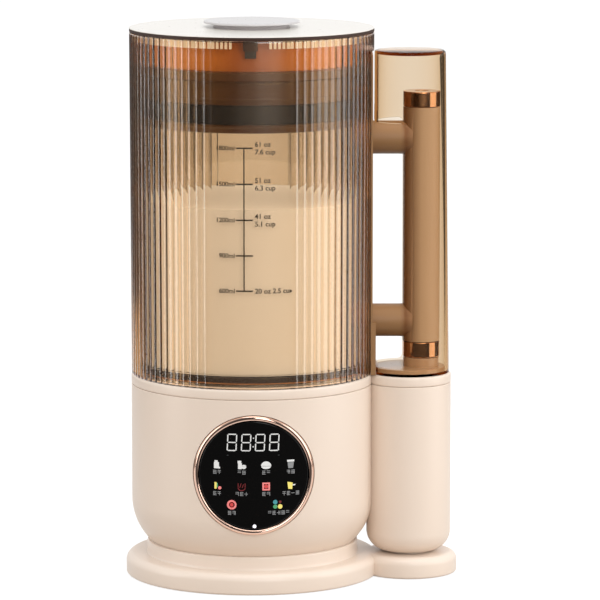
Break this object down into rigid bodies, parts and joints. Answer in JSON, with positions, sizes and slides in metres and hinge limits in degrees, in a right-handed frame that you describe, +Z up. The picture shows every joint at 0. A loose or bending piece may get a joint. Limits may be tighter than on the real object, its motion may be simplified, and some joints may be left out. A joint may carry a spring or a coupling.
{
  "type": "soy milk maker",
  "caption": "Counter-top soy milk maker: round motor base with touch panel, lift-off heated glass jug in a ribbed amber sleeve with side handle, lid and cap.",
  "frame": {"origin": "middle of the footprint on the surface that the feet stand on", "axes": "+Z up along the jug, +X from the jug's axis to the handle, -Y towards the control panel"},
  "size_m": [0.2048, 0.1564, 0.3425],
  "materials": {
    "cream_plastic": "satin moulded plastic",
    "lid_plastic": "satin moulded plastic",
    "cap_plastic": "gloss moulded plastic",
    "amber_plastic": "clear amber moulded plastic",
    "handle_plastic": "satin beige plastic",
    "handle_frame_plastic": "satin brown plastic",
    "rose_gold": "polished rose gold plating",
    "black_glass": "black touch glass",
    "jug_glass": "clear borosilicate glass",
    "grey_silicone": "matte silicone",
    "black_rubber": "matte rubber",
    "stainless_steel": "brushed stainless steel",
    "copper_wire": "enamelled copper",
    "lamination_steel": "bare electrical steel",
    "brass": "bright brass",
    "circuit_board": "green solder mask",
    "black_plastic": "black moulded plastic"
  },
  "bodies": {
    "base": {"foot_1": "black_rubber", "foot_2": "black_rubber", "foot_3": "black_rubber", "foot_4": "black_rubber", "base_plinth": "cream_plastic", "base_cover": "black_plastic", "body_shell": "cream_plastic", "panel_bezel": "rose_gold", "panel_glass": "black_glass", "display_board": "circuit_board", "power_board": "circuit_board", "inlet_socket": "black_plastic", "inlet_pin_1": "brass", "inlet_pin_2": "brass", "inlet_pin_3": "brass", "seat_deck": "black_plastic", "column_cover": "cream_plastic", "lower_connector": "black_plastic", "motor_mount_1": "black_rubber", "motor_mount_2": "black_rubber", "top_bracket": "lamination_steel", "top_bearing": "stainless_steel", "lower_bracket": "lamination_steel", "lower_bearing": "stainless_steel", "stator": "lamination_steel", "field_coil_1": "copper_wire", "field_coil_2": "copper_wire", "brush_holder_1": "brass", "brush_holder_2": "brass"},
    "motor": {"armature": "lamination_steel", "commutator": "copper_wire", "cooling_fan": "black_plastic", "drive_coupler": "black_plastic"},
    "jug": {"jug_collar": "cream_plastic", "upper_connector": "black_plastic", "heater_pan": "stainless_steel", "jug_gasket": "grey_silicone", "heating_element": "stainless_steel", "ribbed_sleeve": "amber_plastic", "glass_jug": "jug_glass", "handle_shell": "amber_plastic", "handle_frame": "handle_frame_plastic", "handle_screw_1": "stainless_steel", "handle_screw_2": "stainless_steel", "handle_grip": "handle_plastic", "grip_ring_1": "rose_gold", "grip_ring_2": "rose_gold", "bearing_housing": "stainless_steel"},
    "blades": {"blade_shaft": "stainless_steel", "blade_lower": "stainless_steel", "blade_upper": "stainless_steel", "blade_nut": "stainless_steel", "driven_coupler": "black_plastic"},
    "lid": {"lid_plate": "lid_plastic", "lid_plug": "amber_plastic", "lid_seal": "grey_silicone", "lid_key": "black_plastic"},
    "cap": {"cap_knob": "cap_plastic", "cap_plug": "black_plastic"}
  },
  "joints": [
    {"name": "jug_lift", "type": "slide", "parent": "base", "child": "jug", "axis": [0, 0, 1], "range_m": [0, 0.1]},
    {"name": "lid_lift", "type": "slide", "parent": "jug", "child": "lid", "axis": [0, 0, 1], "range_m": [0, 0.12]},
    {"name": "cap_lift", "type": "slide", "parent": "lid", "child": "cap", "axis": [0, 0, 1], "range_m": [0, 0.04]},
    {"name": "motor_spin", "type": "hinge", "parent": "base", "child": "motor", "pos_m": [-0.0242, 0, 0.05], "axis": [0, 0, 1], "continuous": true},
    {"name": "blade_spin", "type": "hinge", "parent": "jug", "child": "blades", "pos_m": [-0.0242, 0, 0.15], "axis": [0, 0, 1], "continuous": true}
  ],
  "couplings": [
    {"joint": "blade_spin", "follows": "motor_spin", "ratio": 1}
  ]
}
